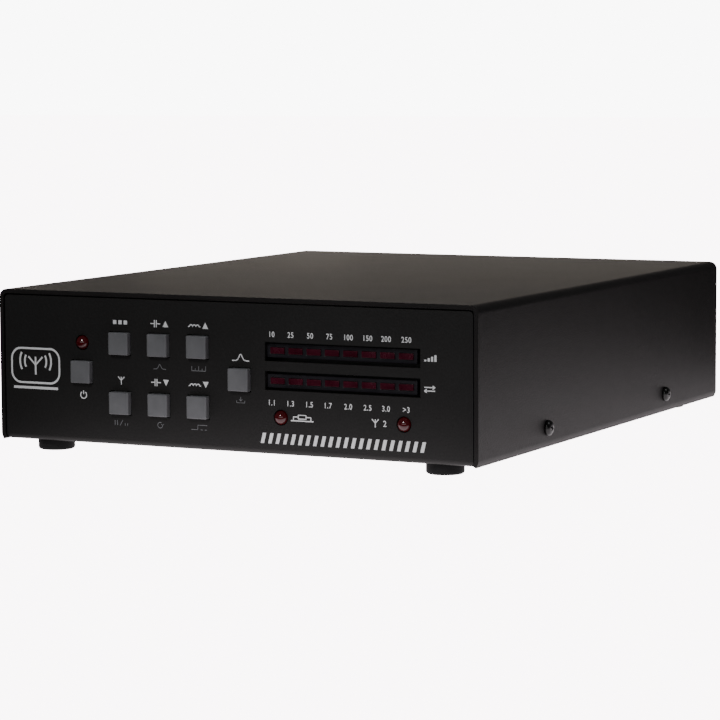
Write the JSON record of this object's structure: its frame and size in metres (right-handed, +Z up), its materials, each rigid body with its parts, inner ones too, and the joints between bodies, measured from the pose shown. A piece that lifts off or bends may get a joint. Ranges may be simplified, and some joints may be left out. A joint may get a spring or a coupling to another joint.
{
  "type": "antenna tuner",
  "caption": "Desktop automatic antenna tuner: low black folded-metal case with square push buttons, indicator lamps and bar displays in front, coaxial sockets and ground terminal behind.",
  "frame": {"origin": "centre of the whole tuner's box in plan, at the underside of the feet", "axes": "+X to the right as seen from the front, +Y from the front panel to the rear, +Z up"},
  "size_m": [0.194, 0.2518, 0.0585],
  "materials": {
    "cover_coat": "fine-textured satin powder coat",
    "panel_coat": "fine-textured satin powder coat",
    "black_screw": "gloss black plating",
    "foot_rubber": "matte",
    "button_plastic": "matte moulded",
    "plunger_plastic": "matte moulded",
    "black_plastic": "matte moulded",
    "spring_steel": "bright",
    "red_lens": "clear-tinted gloss, unlit",
    "bar_plastic": "gloss moulded",
    "segment_lens": "tinted gloss, unlit",
    "circuit_board": "solder mask",
    "plated_steel": "zinc plate",
    "wing_nut_zinc": "zinc plate, cast",
    "ribbon_plastic": "matte",
    "socket_nickel": "nickel plate",
    "socket_insulator": "moulded",
    "contact_plating": "plated",
    "core_paint": "epoxy coat",
    "enamelled_wire": "enamelled copper",
    "capacitor_coating": "dipped epoxy",
    "relay_plastic": "matte moulded",
    "ferrite": "matte sintered",
    "capacitor_sleeve": "sleeve"
  },
  "bodies": {
    "case": {"chassis": "panel_coat", "cover": "cover_coat", "cover_screws": "black_screw", "foot_front_left": "foot_rubber", "foot_front_right": "foot_rubber", "foot_rear_left": "foot_rubber", "foot_rear_right": "foot_rubber", "switch_housings": "black_plastic", "switch_domes": "spring_steel", "power_led": "red_lens", "bypass_led": "red_lens", "antenna_2_led": "red_lens", "power_bar_housing": "bar_plastic", "match_bar_housing": "bar_plastic", "power_bar_segments": "segment_lens", "match_bar_segments": "segment_lens", "display_board": "circuit_board", "board_standoffs": "plated_steel", "board_screws": "plated_steel", "ribbon_cable": "ribbon_plastic", "ribbon_connectors": "black_plastic", "antenna_2_socket": "socket_nickel", "antenna_1_socket": "socket_nickel", "transmitter_socket": "socket_nickel", "socket_insulators": "socket_insulator", "socket_contacts": "contact_plating", "socket_screws": "plated_steel", "socket_nuts": "plated_steel", "ground_stud": "plated_steel", "ground_lock_nut": "plated_steel", "power_jack": "black_plastic", "small_jacks": "black_plastic", "jack_nuts": "plated_steel", "main_board": "circuit_board", "inductor_cores": "core_paint", "inductor_windings": "enamelled_wire", "tuning_capacitors": "capacitor_coating", "latching_relays": "relay_plastic", "sensor_cores": "ferrite", "controller_chip": "black_plastic", "voltage_regulator": "black_plastic", "filter_capacitors": "capacitor_sleeve"},
    "power_button": {"power_button": "button_plastic", "power_plunger": "plunger_plastic"},
    "function_button": {"function_button": "button_plastic", "function_plunger": "plunger_plastic"},
    "antenna_button": {"antenna_button": "button_plastic", "antenna_plunger": "plunger_plastic"},
    "capacitance_up_button": {"capacitance_up_button": "button_plastic", "capacitance_up_plunger": "plunger_plastic"},
    "capacitance_down_button": {"capacitance_down_button": "button_plastic", "capacitance_down_plunger": "plunger_plastic"},
    "inductance_up_button": {"inductance_up_button": "button_plastic", "inductance_up_plunger": "plunger_plastic"},
    "inductance_down_button": {"inductance_down_button": "button_plastic", "inductance_down_plunger": "plunger_plastic"},
    "tune_button": {"tune_button": "button_plastic", "tune_plunger": "plunger_plastic"},
    "ground_washer": {"ground_washer": "plated_steel"},
    "wing_nut": {"wing_nut": "wing_nut_zinc"}
  },
  "joints": [
    {"name": "power_press", "type": "slide", "parent": "case", "child": "power_button", "axis": [0, 1, 0], "range_m": [0, 0.0005], "stiffness_N_per_m": 2500},
    {"name": "function_press", "type": "slide", "parent": "case", "child": "function_button", "axis": [0, 1, 0], "range_m": [0, 0.0005], "stiffness_N_per_m": 2500},
    {"name": "antenna_press", "type": "slide", "parent": "case", "child": "antenna_button", "axis": [0, 1, 0], "range_m": [0, 0.0005], "stiffness_N_per_m": 2500},
    {"name": "capacitance_up_press", "type": "slide", "parent": "case", "child": "capacitance_up_button", "axis": [0, 1, 0], "range_m": [0, 0.0005], "stiffness_N_per_m": 2500},
    {"name": "capacitance_down_press", "type": "slide", "parent": "case", "child": "capacitance_down_button", "axis": [0, 1, 0], "range_m": [0, 0.0005], "stiffness_N_per_m": 2500},
    {"name": "inductance_up_press", "type": "slide", "parent": "case", "child": "inductance_up_button", "axis": [0, 1, 0], "range_m": [0, 0.0005], "stiffness_N_per_m": 2500},
    {"name": "inductance_down_press", "type": "slide", "parent": "case", "child": "inductance_down_button", "axis": [0, 1, 0], "range_m": [0, 0.0005], "stiffness_N_per_m": 2500},
    {"name": "tune_press", "type": "slide", "parent": "case", "child": "tune_button", "axis": [0, 1, 0], "range_m": [0, 0.0005], "stiffness_N_per_m": 2500},
    {"name": "washer_slide", "type": "slide", "parent": "case", "child": "ground_washer", "axis": [0, 1, 0], "range_m": [0, 0.00397]},
    {"name": "wing_nut_turn", "type": "hinge", "parent": "ground_washer", "child": "wing_nut", "pos_m": [-0.036, 0.11255, 0.0381], "axis": [0, 1, 0], "range_deg": [0, 1800]}
  ],
  "couplings": [
    {"joint": "wing_nut_turn", "follows": "washer_slide", "rad_per_m": 7915.8}
  ]
}
